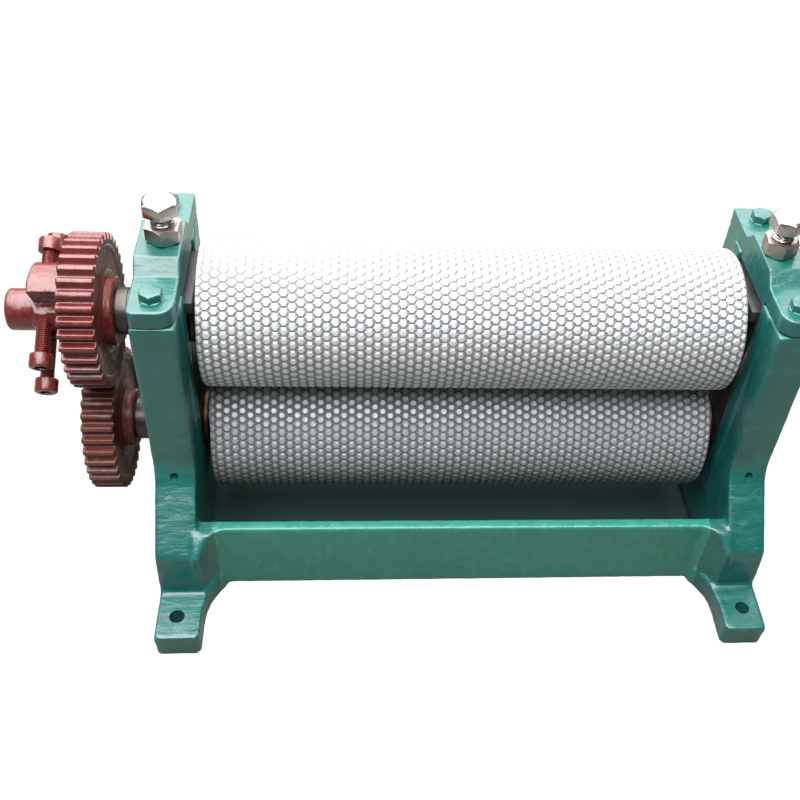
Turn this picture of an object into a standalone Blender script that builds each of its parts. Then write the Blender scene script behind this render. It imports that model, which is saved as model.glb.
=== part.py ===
"""Hand-driven two-roller mill that presses the cell pattern into sheets of beeswax.

Two engraved alloy rollers run one above the other in a cast iron frame. Each end of the frame is a
housing with an open-topped window. Bearing blocks ride in the window, a cap closes it, and a screw
through the cap raises or lowers the upper block. A pair of equal gears outside the left housing makes
the rollers turn together. Two screws through a half drum on the upper gear press on a flat of the shaft
and set the upper roller's phase. Two more cap screws stand in the front of the same shaft end.

Axes: X along the rollers, with the gears on -X; -Y is the operator's side; Z up, feet on Z = 0.
Lengths below are in millimetres times MM, measured from the plane midway between the housings.
"""

from math import cos, pi, radians, sin, sqrt, tan

import bmesh
import bpy
from mathutils import Matrix, Vector

MM = 0.001
GAP = 0.3 * MM                      # clearance left between neighbouring pieces
OVERLAP = 1.0 * MM                  # how far joined shapes reach into each other

# Rollers and shafts
ROLLER_RADIUS = 43.0 * MM
ROLLER_LENGTH = 310.0 * MM
ROLLER_OFFSET = -1.5 * MM           # the rollers sit a little towards the gears
ROLLER_RIM = 2.0 * MM               # plain band at each end of the pattern
ROLLER_RIM_DROP = 0.8 * MM
LOWER_AXIS_Z = 73.6 * MM
AXIS_DISTANCE = 86.4 * MM
UPPER_AXIS_Z = LOWER_AXIS_Z + AXIS_DISTANCE
SHAFT_RADIUS = 12.0 * MM
SHAFT_RIGHT_END = 200.0 * MM
UPPER_SHAFT_LEFT_END = -266.0 * MM  # the bare stub that takes the crank
LOWER_SHAFT_LEFT_END = -232.0 * MM
KEY_SIZE = 5.0 * MM
ROLLER_KEY_LENGTH = 60.0 * MM

# Housings, as distances out from the middle plane (X) and from the roller plane (Y)
HOUSING_INNER = 164.0 * MM
HOUSING_OUTER = 188.0 * MM
FOOT_INNER = 161.5 * MM
PAD_INNER = 162.6 * MM              # raised machined strip beside the window
PAD_EDGE = 37.0 * MM
WINDOW_HALF = 25.2 * MM
WINDOW_FLOOR = 43.3 * MM
COLUMN_HALF = 56.0 * MM
COLUMN_HALF_FOOT = 57.0 * MM        # the column widens a little downwards
COLUMN_TOP = 193.0 * MM
FLARE_RADIUS = 25.0 * MM
FLARE_ANGLE = radians(42.0)         # slope of the flared shoulder below the horizontal
LEDGE_HALF = 93.5 * MM
LEDGE_Z = 50.5 * MM
FOOT_STEP_HALF = 95.5 * MM
FOOT_HALF = 129.0 * MM
FOOT_TOP = 17.0 * MM
FOOT_CORNER = 8.0 * MM
FOOT_EDGE = 3.0 * MM
ARCH_HALF = 88.0 * MM
ARCH_Z = 5.0 * MM
FOOT_HOLE_Y = 113.0 * MM
FOOT_HOLE_RADIUS = 4.5 * MM
STAND_CENTRE = 176.0 * MM           # X of the cap bolts and foot holes
SCREW_X = 173.6 * MM                # X of the adjusting screws
TABLE_HOLE_Z = 82.5 * MM
TABLE_HOLE_RADIUS = 2.1 * MM
GUIDE_INNER = 172.0 * MM            # rib on each side of the window that the blocks are grooved for
GUIDE_OUTER = 180.0 * MM
GUIDE_HEIGHT = 3.0 * MM
GUIDE_TOP = 189.0 * MM

# Beams between the housings
BEAM_FRONT = 80.0 * MM
BEAM_BACK = 73.0 * MM
BEAM_TOP = 58.0 * MM
BEAM_BOTTOM = 5.0 * MM
BEAM_FLARE_START = 153.0 * MM
BEAM_FLARE_HALF = 92.5 * MM
BEAM_BOLT_Y = 78.5 * MM
BEAM_BOLT_HEIGHTS = {"upper": 44.0 * MM, "lower": 18.0 * MM}
BEAM_BOLT_TIP = 157.5 * MM
BEAM_BOLT_SEAT = 183.4 * MM         # floor of the counterbore that hides each bolt head
COUNTERBORE_RADIUS = 7.0 * MM

# Caps
CAP_BOTTOM = COLUMN_TOP + GAP
CAP_FLAT = 203.7 * MM
CAP_BLOCK = 211.2 * MM
CAP_BLOCK_HALF = 16.5 * MM
CAP_SLOPE_HALF = 24.6 * MM
CAP_TONGUE_HALF = WINDOW_HALF - GAP
CAP_TONGUE_BOTTOM = 189.5 * MM
CAP_INNER_CORNER = 9.0 * MM         # front inner corner, seen from above
CAP_REAR_CORNER = 2.0 * MM
CAP_OUTER_CORNER = 4.0 * MM
CAP_BOLT_Y = 43.0 * MM
CAP_BOLT_TIP = 165.0 * MM

# Bearing blocks and bushes
BLOCK_INNER = HOUSING_INNER + GAP
BLOCK_OUTER = 190.0 * MM
BLOCK_HALF = WINDOW_HALF - GAP
UPPER_BLOCK_TOP = 186.0 * MM
UPPER_BLOCK_BOTTOM = 117.2 * MM
LOWER_BLOCK_TOP = 115.9 * MM
LOWER_BLOCK_BOTTOM = WINDOW_FLOOR + GAP
LIP_INNER = 158.6 * MM              # lip of the upper block that looks over the roller's end
LIP_BOTTOM = 178.0 * MM
LIP_HALF = 24.4 * MM
BUSH_RADIUS = 15.0 * MM
BUSH_FLANGE_RADIUS = 17.4 * MM
BUSH_FLANGE = 3.0 * MM

# Adjusting screws (M12) and their lock nuts
SCREW_RADIUS = 6.0 * MM
SCREW_SHOULDER_Z = 187.0 * MM
SCREW_NECK_RADIUS = 3.4 * MM
SCREW_FOOT_RADIUS = 5.2 * MM
SCREW_FOOT_TOP = 182.2 * MM
SCREW_FOOT_BOTTOM = 178.6 * MM
SCREW_HEAD_BOTTOM = 228.0 * MM
SCREW_HEAD_TOP = 236.0 * MM
SCREW_FLATS = 18.0 * MM
NUT_HEIGHT = 10.0 * MM

# Hexagon bolts: shank radius, width across flats, head height
M7_BOLT = (3.5 * MM, 11.0 * MM, 5.2 * MM)
M6_BOLT = (3.0 * MM, 10.0 * MM, 4.0 * MM)

# Gears
TEETH = 36
TOOTH_ADDENDUM = 1.8 * MM
TOOTH_DEDENDUM = 2.6 * MM
TOOTH_BACKLASH = 0.6 * MM
PRESSURE_ANGLE = radians(19.0)
UPPER_GEAR_LEFT = -229.5 * MM
UPPER_GEAR_RIGHT = -210.0 * MM
UPPER_BOSS_RIGHT = -205.6 * MM
UPPER_BOSS_RADIUS = 20.0 * MM
LOWER_GEAR_LEFT = -231.5 * MM
LOWER_GEAR_RIGHT = -213.0 * MM
LOWER_BOSS_RIGHT = -206.6 * MM
LOWER_BOSS_RADIUS = 18.0 * MM
LOWER_KEY_LENGTH = 16.0 * MM
LOWER_KEY_X = (LOWER_GEAR_LEFT + LOWER_GEAR_RIGHT) / 2
SPACER_RADIUS = 13.7 * MM

# Phase hub: a half drum on the upper gear, behind the shaft, and four cap screws around it
DRUM_LEFT = -250.5 * MM
DRUM_RADIUS = 27.0 * MM
HUB_TILT = radians(30.0)            # the screws' direction above the horizontal, leaning away
HUB_SCREW_X = -244.5 * MM
HUB_SCREW_SPREAD = 7.0 * MM         # each screw's distance to one side of the shaft's axis
HUB_FLAT = 9.5 * MM                 # flat on the back of the shaft, from its axis
HUB_FLAT_HALF = 6.5 * MM
BACK_TIP = 10.4 * MM
FRONT_TIP = 2.0 * MM
HUB_SCREW_RADIUS = 4.0 * MM
SOCKET_HEAD_RADIUS = 6.3 * MM
SOCKET_HEAD_HEIGHT = 8.0 * MM
SOCKET_DEPTH = 4.0 * MM
SOCKET_FLATS = 6.0 * MM
HUB_SCREWS = {                      # side of the shaft, spread side, tip, underside of head
    "hub_screw_back_upper": (1, 1, BACK_TIP, 32.5 * MM),
    "hub_screw_back_lower": (1, -1, BACK_TIP, 41.0 * MM),
    "hub_screw_front_upper": (-1, 1, FRONT_TIP, 29.5 * MM),
    "hub_screw_front_lower": (-1, -1, FRONT_TIP, 39.5 * MM),
}

# Right-hand collars
COLLAR_LEFT = BLOCK_OUTER + GAP
COLLAR_RIGHT = 198.0 * MM
COLLAR_RADIUS = 18.0 * MM

# The whole machine is shifted so that its box is centred on X = 0
CENTRE_SHIFT = -(UPPER_SHAFT_LEFT_END + SHAFT_RIGHT_END) / 2

GREEN_ENAMEL = ("green_enamel", (0.045, 0.225, 0.175), 0.35, 0.0)
RED_ENAMEL = ("red_enamel", (0.235, 0.045, 0.035), 0.4, 0.0)
DARK_IRON = ("dark_iron", (0.035, 0.032, 0.036), 0.6, 0.3)
STEEL = ("steel", (0.30, 0.30, 0.31), 0.35, 1.0)
ZINC = ("zinc_plate", (0.62, 0.62, 0.60), 0.28, 1.0)
ALLOY = ("roller_alloy", (0.72, 0.72, 0.74), 0.38, 1.0)
BRONZE = ("bronze", (0.45, 0.28, 0.12), 0.4, 1.0)


def clear_scene():
    for thing in list(bpy.data.objects):
        bpy.data.objects.remove(thing, do_unlink=True)


def material(finish):
    name, colour, roughness, metallic = finish
    found = bpy.data.materials.get(name)
    if found:
        return found
    made = bpy.data.materials.new(name)
    made.use_nodes = True
    shader = made.node_tree.nodes["Principled BSDF"]
    shader.inputs["Base Color"].default_value = (*colour, 1.0)
    shader.inputs["Roughness"].default_value = roughness
    shader.inputs["Metallic"].default_value = metallic
    return made


def place(name, bm, finish, origin=(0.0, 0.0, 0.0)):
    """Turns a bmesh in machine coordinates into an object whose origin is the given point."""
    bmesh.ops.translate(bm, verts=bm.verts, vec=-Vector(origin))
    bmesh.ops.recalc_face_normals(bm, faces=bm.faces)
    mesh = bpy.data.meshes.new(name)
    bm.to_mesh(mesh)
    bm.free()
    mesh.shade_smooth()
    mesh.set_sharp_from_angle(angle=radians(35.0))
    mesh.materials.append(material(finish))
    thing = bpy.data.objects.new(name, mesh)
    bpy.context.collection.objects.link(thing)
    thing.location = origin
    thing.parent = MACHINE
    return thing


def combine(thing, bm, operation):
    """Adds a Boolean modifier that uses the bmesh as a hidden tool."""
    label = f"tool_{thing.name}_{len(thing.modifiers)}"
    tool = place(label, bm, STEEL)
    tool.hide_render = True
    tool.display_type = "WIRE"
    step = thing.modifiers.new(label, "BOOLEAN")
    step.operation = operation
    step.object = tool


def cut(thing, bm):
    combine(thing, bm, "DIFFERENCE")


def join(thing, bm):
    combine(thing, bm, "UNION")


def arc(centre, radius, start, end, steps):
    """Points of an arc in a plane, from one angle to the other."""
    angles = [start + (end - start) * step / steps for step in range(steps + 1)]
    return [(centre[0] + radius * cos(a), centre[1] + radius * sin(a)) for a in angles]


def mirrored(half):
    """Closes a half outline, given from its middle outwards and back, across its first axis."""
    return half + [(-a, b) for a, b in reversed(half)]


def prism(outline, frame, low, high):
    """A straight prism: the outline's two axes and the prism's own axis are frame's columns."""
    bm = bmesh.new()
    ends = []
    for level in (low, high):
        ends.append([bm.verts.new(frame @ Vector((a, b, level))) for a, b in outline])
    count = len(outline)
    for index in range(count):
        following = (index + 1) % count
        bm.faces.new((ends[0][index], ends[0][following], ends[1][following], ends[1][index]))
    caps = [bm.faces.new(ends[0]), bm.faces.new(ends[1])]
    bmesh.ops.recalc_face_normals(bm, faces=bm.faces)
    bmesh.ops.triangulate(bm, faces=caps)
    return bm


def turned(profile, frame, segments):
    """A body turned about frame's third axis; the profile is a closed loop of (radius, along)."""
    bm = bmesh.new()
    rings = []
    for radius, along in profile:
        if radius == 0.0:
            rings.append([bm.verts.new(frame @ Vector((0.0, 0.0, along)))])
            continue
        ring = []
        for index in range(segments):
            angle = 2 * pi * index / segments
            ring.append(bm.verts.new(frame @ Vector((radius * cos(angle), radius * sin(angle), along))))
        rings.append(ring)
    for first, second in zip(rings, rings[1:] + rings[:1]):
        if len(first) == 1 and len(second) == 1:
            continue
        for index in range(segments):
            following = (index + 1) % segments
            corners = [first[index % len(first)], first[following % len(first)],
                       second[following % len(second)], second[index % len(second)]]
            face = list(dict.fromkeys(corners))
            bm.faces.new(face)
    bmesh.ops.recalc_face_normals(bm, faces=bm.faces)
    return bm


def frame_at(origin, third, first):
    """A matrix whose third column is the axis, whose first is near the given direction."""
    w = Vector(third).normalized()
    u = (Vector(first) - w * Vector(first).dot(w)).normalized()
    v = w.cross(u)
    return Matrix.Translation(origin) @ Matrix((u, v, w)).transposed().to_4x4()


def across(x=0.0, y=0.0, z=0.0):
    """Outline axes Y and Z, prism axis X."""
    return frame_at((x, y, z), (1, 0, 0), (0, 1, 0))


def upright(x=0.0, y=0.0, z=0.0):
    """Outline axes X and Y, prism axis Z."""
    return frame_at((x, y, z), (0, 0, 1), (1, 0, 0))


def rod(frame, radius, low, high, segments):
    return turned([(0.0, low), (radius, low), (radius, high), (0.0, high)], frame, segments)


def tube(frame, outer, inner, low, high, segments):
    return turned([(inner, low), (outer, low), (outer, high), (inner, high)], frame, segments)


def block(x, y, z):
    """A rectangular block from three (low, high) pairs."""
    corners = [(x[0], y[0]), (x[1], y[0]), (x[1], y[1]), (x[0], y[1])]
    return prism(corners, upright(), *z)


def hexagon(across_flats):
    return arc((0.0, 0.0), across_flats / sqrt(3.0), 0.0, 2 * pi * 5 / 6, 5)


def span(side, inner, outer):
    """The low and high X of something that lies between two distances out on one side."""
    return sorted((side * inner, side * outer))


def stand_profile():
    """The housing seen along the rollers: feet, flared shoulders and two columns."""
    turn = pi / 2 - FLARE_ANGLE
    slope_start = COLUMN_HALF_FOOT + FLARE_RADIUS * (1 - cos(turn))
    flare_top = LEDGE_Z + (LEDGE_HALF - slope_start) * tan(FLARE_ANGLE) + FLARE_RADIUS * sin(turn)
    foot_edge = arc((FOOT_HALF - FOOT_EDGE, FOOT_TOP - FOOT_EDGE), FOOT_EDGE, 0.0, pi / 2, 3)
    flare = arc((COLUMN_HALF_FOOT + FLARE_RADIUS, flare_top), FLARE_RADIUS, pi + turn, pi, 6)
    half = [(ARCH_HALF, ARCH_Z), (ARCH_HALF + ARCH_Z, 0.0), (FOOT_HALF, 0.0), *foot_edge,
            (FOOT_STEP_HALF, FOOT_TOP), (LEDGE_HALF, LEDGE_Z), *flare, (COLUMN_HALF, COLUMN_TOP),
            (WINDOW_HALF, COLUMN_TOP), (WINDOW_HALF, WINDOW_FLOOR)]
    return mirrored(half)


def stand_plan(side):
    """The housing seen from above: raised strips by the window, feet with rounded corners."""
    toe = FOOT_HALF - FOOT_CORNER
    inner_toe = arc((FOOT_INNER + FOOT_CORNER, toe), FOOT_CORNER, pi, pi / 2, 4)
    outer_toe = arc((HOUSING_OUTER - FOOT_CORNER, toe), FOOT_CORNER, pi / 2, 0.0, 4)
    half = [(PAD_INNER, PAD_EDGE), (HOUSING_INNER, PAD_EDGE), (HOUSING_INNER, FOOT_STEP_HALF),
            (FOOT_INNER, FOOT_STEP_HALF + FOOT_CORNER), *inner_toe, *outer_toe]
    whole = half + [(x, -y) for x, y in reversed(half)]
    return [(side * x, y) for x, y in whole]


def make_stand(name, side):
    stand = place(name, prism(stand_profile(), across(), *span(side, 150 * MM, 200 * MM)), GREEN_ENAMEL)
    combine(stand, prism(stand_plan(side), upright(), -5 * MM, COLUMN_TOP + 5 * MM), "INTERSECT")
    for toward in (-1, 1):
        rib = block(span(side, GUIDE_INNER, GUIDE_OUTER),
                    sorted((toward * (WINDOW_HALF - GUIDE_HEIGHT), toward * (WINDOW_HALF + OVERLAP))),
                    (WINDOW_FLOOR - OVERLAP, GUIDE_TOP))
        join(stand, rib)
        x = side * STAND_CENTRE
        cut(stand, rod(upright(x, toward * FOOT_HOLE_Y), FOOT_HOLE_RADIUS, -OVERLAP, FOOT_TOP + OVERLAP, 20))
        cut(stand, rod(upright(x, toward * CAP_BOLT_Y), M7_BOLT[0] + GAP, CAP_BOLT_TIP - 2 * MM,
                       COLUMN_TOP + OVERLAP, 16))
        bore = frame_at((x, 0.0, TABLE_HOLE_Z), (0, toward, 0), (1, 0, 0))
        cut(stand, rod(bore, TABLE_HOLE_RADIUS, 46 * MM, 70 * MM, 12))
        for height in BEAM_BOLT_HEIGHTS.values():
            through = frame_at((0.0, toward * BEAM_BOLT_Y, height), (side, 0, 0), (0, 1, 0))
            cut(stand, rod(through, M6_BOLT[0] + GAP, HOUSING_INNER - 5 * MM, BEAM_BOLT_SEAT + OVERLAP, 16))
            cut(stand, rod(through, COUNTERBORE_RADIUS, BEAM_BOLT_SEAT, HOUSING_OUTER + OVERLAP, 24))


def make_beam(name, toward):
    """A beam whose ends thicken into pads that the housing's bolts run into."""
    end = HOUSING_INNER - GAP
    outline = [(end, toward * BEAM_BACK), (end, toward * BEAM_FLARE_HALF),
               (BEAM_FLARE_START, toward * BEAM_FRONT)]
    whole = outline + [(-x, y) for x, y in reversed(outline)]
    beam = place(name, prism(whole, upright(), BEAM_BOTTOM, BEAM_TOP), GREEN_ENAMEL)
    above = BEAM_TOP + OVERLAP
    inner = LEDGE_HALF - (above - LEDGE_Z) / tan(FLARE_ANGLE)
    corner = [(toward * LEDGE_HALF, LEDGE_Z), (toward * inner, above), (toward * LEDGE_HALF, above)]
    cut(beam, prism(corner, across(), -HOUSING_INNER, HOUSING_INNER))
    for side in (-1, 1):
        for height in BEAM_BOLT_HEIGHTS.values():
            hole = frame_at((0.0, toward * BEAM_BOLT_Y, height), (side, 0, 0), (0, 1, 0))
            cut(beam, rod(hole, M6_BOLT[0] + GAP, BEAM_BOLT_TIP - GAP, HOUSING_INNER + OVERLAP, 16))


def bolt(name, frame, size, length, finish):
    """A hexagon bolt: its head stands from 0 up the frame's axis and its shank runs the other way."""
    radius, flats, height = size
    head = prism(hexagon(flats), frame, 0.0, height)
    thing = place(name, head, finish)
    crown = turned([(0.0, -OVERLAP), (flats / 2 * 1.3, -OVERLAP), (flats / 2 * 1.3, height * 0.72),
                    (flats / 2 * 0.93, height + 0.01 * MM), (0.0, height + 0.01 * MM)], frame, 24)
    combine(thing, crown, "INTERSECT")
    join(thing, rod(frame, radius, -length, OVERLAP, 16))
    return thing


def make_beam_bolts():
    for side, end in ((-1, "left"), (1, "right")):
        for toward, face in ((-1, "front"), (1, "rear")):
            for level, height in BEAM_BOLT_HEIGHTS.items():
                seat = (side * (BEAM_BOLT_SEAT + GAP), toward * BEAM_BOLT_Y, height)
                frame = frame_at(seat, (side, 0, 0), (0, 0, 1))
                bolt(f"beam_bolt_{end}_{face}_{level}", frame, M6_BOLT,
                     BEAM_BOLT_SEAT + GAP - BEAM_BOLT_TIP, DARK_IRON)


def cap_profile():
    half = [(CAP_TONGUE_HALF, CAP_TONGUE_BOTTOM), (CAP_TONGUE_HALF, CAP_BOTTOM), (COLUMN_HALF, CAP_BOTTOM),
            (COLUMN_HALF, CAP_FLAT), (CAP_SLOPE_HALF, CAP_FLAT), (CAP_BLOCK_HALF, CAP_BLOCK)]
    return mirrored(half)


def cap_plan(side):
    """A cap from above: a large corner at the front inside, a small one at the rear inside."""
    points = []
    for toward, corner in ((-1, CAP_INNER_CORNER), (1, CAP_REAR_CORNER)):
        inner = arc((HOUSING_INNER + corner, COLUMN_HALF - corner), corner, pi, pi / 2, 5)
        outer = arc((HOUSING_OUTER - CAP_OUTER_CORNER, COLUMN_HALF - CAP_OUTER_CORNER), CAP_OUTER_CORNER,
                    pi / 2, 0.0, 3)
        half = [(side * x, toward * y) for x, y in inner + outer]
        points += half if toward < 0 else list(reversed(half))
    return points


def make_cap(name, side):
    cap = place(name, prism(cap_profile(), across(), *span(side, 150 * MM, 200 * MM)), GREEN_ENAMEL)
    combine(cap, prism(cap_plan(side), upright(), 180 * MM, 220 * MM), "INTERSECT")
    cut(cap, rod(upright(side * SCREW_X), SCREW_RADIUS + GAP, 180 * MM, 220 * MM, 24))
    for toward in (-1, 1):
        frame = upright(side * STAND_CENTRE, toward * CAP_BOLT_Y)
        cut(cap, rod(frame, M7_BOLT[0] + GAP, 180 * MM, 220 * MM, 16))


def make_cap_bolts():
    for side, end in ((-1, "left"), (1, "right")):
        for toward, face in ((-1, "front"), (1, "rear")):
            frame = upright(side * STAND_CENTRE, toward * CAP_BOLT_Y, CAP_FLAT + GAP)
            bolt(f"cap_bolt_{end}_{face}", frame, M7_BOLT, CAP_FLAT + GAP - CAP_BOLT_TIP, GREEN_ENAMEL)


def block_plan(side):
    """A bearing block from above, with a groove down each side for the housing's guide ribs."""
    groove = BLOCK_HALF - GUIDE_HEIGHT
    half = [(BLOCK_INNER, BLOCK_HALF), (GUIDE_INNER - GAP, BLOCK_HALF), (GUIDE_INNER - GAP, groove),
            (GUIDE_OUTER + GAP, groove), (GUIDE_OUTER + GAP, BLOCK_HALF), (BLOCK_OUTER, BLOCK_HALF)]
    return [(side * x, y) for x, y in half + [(x, -y) for x, y in reversed(half)]]


def make_lower_block(name, side):
    made = place(name, prism(block_plan(side), upright(), LOWER_BLOCK_BOTTOM, LOWER_BLOCK_TOP), DARK_IRON)
    cut(made, rod(across(0, 0, LOWER_AXIS_Z), BUSH_RADIUS + GAP, *span(side, 150 * MM, 200 * MM), 24))


def make_upper_block(name, side):
    """The sliding block, with a lip over the roller's end and a tee slot that holds the screw's foot."""
    made = place(name, prism(block_plan(side), upright(), UPPER_BLOCK_BOTTOM, UPPER_BLOCK_TOP), DARK_IRON,
                 (0.0, 0.0, UPPER_AXIS_Z))
    join(made, block(span(side, LIP_INNER, BLOCK_INNER + OVERLAP), (-LIP_HALF, LIP_HALF),
                     (LIP_BOTTOM, UPPER_BLOCK_TOP)))
    cut(made, rod(across(0, 0, UPPER_AXIS_Z), BUSH_RADIUS + GAP, *span(side, 150 * MM, 200 * MM), 24))
    mouth = UPPER_BLOCK_TOP + OVERLAP
    for radius, low, high in ((SCREW_NECK_RADIUS, SCREW_FOOT_TOP, mouth),
                              (SCREW_FOOT_RADIUS, SCREW_FOOT_BOTTOM - GAP, SCREW_FOOT_TOP + GAP)):
        half_width = radius + GAP
        end = arc((0.0, 0.0), half_width, 3 * pi / 2, pi / 2, 8)
        reach = BLOCK_OUTER - SCREW_X + OVERLAP
        outline = end + [(reach, half_width), (reach, -half_width)]
        slot = [(side * (SCREW_X + x), y) for x, y in outline]
        cut(made, prism(slot, upright(), low, high))


def make_bush(name, side, z):
    """A flanged plain bearing, its flange on the roller's side."""
    inner = SHAFT_RADIUS + GAP
    flange = BLOCK_INNER - GAP
    profile = [(inner, BLOCK_OUTER - 0.5 * MM), (BUSH_RADIUS, BLOCK_OUTER - 0.5 * MM), (BUSH_RADIUS, flange),
               (BUSH_FLANGE_RADIUS, flange), (BUSH_FLANGE_RADIUS, flange - BUSH_FLANGE),
               (inner, flange - BUSH_FLANGE)]
    frame = frame_at((0, 0, z), (side, 0, 0), (0, 1, 0))
    place(name, turned(profile, frame, 24), BRONZE, (0.0, 0.0, z))


def make_adjusting_screw(name, side):
    head = [(0.0, SCREW_FOOT_BOTTOM), (SCREW_FOOT_RADIUS, SCREW_FOOT_BOTTOM),
            (SCREW_FOOT_RADIUS, SCREW_FOOT_TOP), (SCREW_NECK_RADIUS, SCREW_FOOT_TOP),
            (SCREW_NECK_RADIUS, SCREW_SHOULDER_Z - OVERLAP),
            (SCREW_RADIUS - OVERLAP, SCREW_SHOULDER_Z), (SCREW_RADIUS, SCREW_SHOULDER_Z + OVERLAP),
            (SCREW_RADIUS, SCREW_HEAD_BOTTOM + OVERLAP), (0.0, SCREW_HEAD_BOTTOM + OVERLAP)]
    x = side * SCREW_X
    screw = place(name, turned(head, upright(x), 24), ZINC, (x, 0.0, SCREW_HEAD_BOTTOM))
    crown = prism(hexagon(SCREW_FLATS), upright(x), SCREW_HEAD_BOTTOM, SCREW_HEAD_TOP)
    join(screw, crown)


def make_lock_nut(name, side):
    x = side * SCREW_X
    seat = CAP_BLOCK + GAP
    nut = place(name, prism(hexagon(SCREW_FLATS), upright(x), seat, seat + NUT_HEIGHT), ZINC, (x, 0.0, seat))
    cut(nut, rod(upright(x), SCREW_RADIUS + GAP, seat - OVERLAP, seat + NUT_HEIGHT + OVERLAP, 24))


def make_roller(name, z):
    """An alloy sleeve with a plain rim at each end, keyed to its shaft."""
    half = ROLLER_LENGTH / 2
    rim = ROLLER_RADIUS - ROLLER_RIM_DROP
    chamfer = 1.2 * MM
    bore = SHAFT_RADIUS + GAP
    right = [(ROLLER_RADIUS, half - ROLLER_RIM - chamfer), (rim, half - ROLLER_RIM), (rim, half - chamfer),
             (rim - chamfer, half), (bore, half)]
    profile = right + [(r, -x) for r, x in reversed(right)]
    roller = place(name, turned(profile, across(ROLLER_OFFSET, 0, z), 48), ALLOY, (0.0, 0.0, z))
    cut(roller, key_seat(ROLLER_OFFSET, ROLLER_KEY_LENGTH, z))


def make_key(name, x, length, z):
    """A square key half sunk in the top of its shaft."""
    half = KEY_SIZE / 2
    key = block((x - length / 2, x + length / 2), (-half, half),
                (z + SHAFT_RADIUS - half, z + SHAFT_RADIUS + half))
    place(name, key, STEEL, (0.0, 0.0, z))


def key_seat(x, length, z):
    half = KEY_SIZE / 2 + GAP
    return block((x - length / 2 - GAP, x + length / 2 + GAP), (-half, half),
                 (z + SHAFT_RADIUS - half, z + SHAFT_RADIUS + half))


def shaft_profile(left_end):
    edge = 1.0 * MM
    return [(0.0, left_end), (SHAFT_RADIUS - edge, left_end), (SHAFT_RADIUS, left_end + edge),
            (SHAFT_RADIUS, SHAFT_RIGHT_END - edge), (SHAFT_RADIUS - edge, SHAFT_RIGHT_END),
            (0.0, SHAFT_RIGHT_END)]


def make_lower_shaft():
    z = LOWER_AXIS_Z
    shaft = place("lower_shaft", turned(shaft_profile(LOWER_SHAFT_LEFT_END), across(0, 0, z), 24), STEEL,
                  (0.0, 0.0, z))
    cut(shaft, key_seat(ROLLER_OFFSET, ROLLER_KEY_LENGTH, z))
    cut(shaft, key_seat(LOWER_KEY_X, LOWER_KEY_LENGTH, z))


def hub_frame():
    """Outline axes: out along the back screws, then aside below them; prism axis -X."""
    out = (0.0, cos(HUB_TILT), sin(HUB_TILT))
    return frame_at((0.0, 0.0, UPPER_AXIS_Z), (-1, 0, 0), out)


def hub_screw_frame(along, spread):
    """A frame on one hub screw, with its third axis pointing out of the shaft along the screw."""
    out = Vector((0.0, cos(HUB_TILT), sin(HUB_TILT)))
    aside = Vector((0.0, -sin(HUB_TILT), cos(HUB_TILT)))
    origin = Vector((HUB_SCREW_X, 0.0, UPPER_AXIS_Z)) + aside * (spread * HUB_SCREW_SPREAD)
    return frame_at(origin, out * along, (1, 0, 0))


def make_upper_shaft():
    z = UPPER_AXIS_Z
    shaft = place("upper_shaft", turned(shaft_profile(UPPER_SHAFT_LEFT_END), across(0, 0, z), 24), STEEL,
                  (0.0, 0.0, z))
    cut(shaft, key_seat(ROLLER_OFFSET, ROLLER_KEY_LENGTH, z))
    beyond = SHAFT_RADIUS + OVERLAP
    flat = [(HUB_FLAT, -beyond), (beyond, -beyond), (beyond, beyond), (HUB_FLAT, beyond)]
    cut(shaft, prism(flat, hub_frame(), -HUB_SCREW_X - HUB_FLAT_HALF, -HUB_SCREW_X + HUB_FLAT_HALF))
    for along, spread, tip, underside in HUB_SCREWS.values():
        if along < 0:
            cut(shaft, rod(hub_screw_frame(along, spread), HUB_SCREW_RADIUS + GAP, tip - GAP, beyond, 16))


def gear_outline(turn):
    """Straight-flanked teeth on the pitch circle; turn rotates the first tooth from the +Y axis."""
    pitch = AXIS_DISTANCE / 2
    root = pitch - TOOTH_DEDENDUM
    tip = pitch + TOOTH_ADDENDUM
    tooth = pi * pitch / TEETH - TOOTH_BACKLASH / 2
    half_root_angle = (tooth / 2 + TOOTH_DEDENDUM * tan(PRESSURE_ANGLE)) / pitch
    half_tip_angle = (tooth / 2 - TOOTH_ADDENDUM * tan(PRESSURE_ANGLE)) / pitch
    points = []
    for index in range(TEETH):
        middle = turn + 2 * pi * index / TEETH
        for offset, radius in ((-half_root_angle, root), (-half_tip_angle, tip),
                               (half_tip_angle, tip), (half_root_angle, root)):
            points.append((radius * cos(middle + offset), radius * sin(middle + offset)))
    return points


def make_upper_gear():
    """One casting: the gear, its boss and the half drum that the back screws pass through."""
    z = UPPER_AXIS_Z
    outline = gear_outline(-pi / 2)
    gear = place("upper_gear", prism(outline, across(0, 0, z), UPPER_GEAR_LEFT, UPPER_GEAR_RIGHT), RED_ENAMEL,
                 (0.0, 0.0, z))
    join(gear, rod(across(0, 0, z), UPPER_BOSS_RADIUS, UPPER_GEAR_RIGHT - OVERLAP, UPPER_BOSS_RIGHT, 24))
    drum = arc((0.0, 0.0), DRUM_RADIUS, -pi / 2, pi / 2, 20)
    join(gear, prism(drum, hub_frame(), -UPPER_GEAR_LEFT - OVERLAP, -DRUM_LEFT))
    cut(gear, rod(across(0, 0, z), SHAFT_RADIUS + GAP, DRUM_LEFT - OVERLAP, UPPER_BOSS_RIGHT + OVERLAP, 24))
    for along, spread, tip, underside in HUB_SCREWS.values():
        if along > 0:
            frame = hub_screw_frame(along, spread)
            cut(gear, rod(frame, HUB_SCREW_RADIUS + GAP, tip - 5 * MM, DRUM_RADIUS + OVERLAP, 16))


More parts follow.
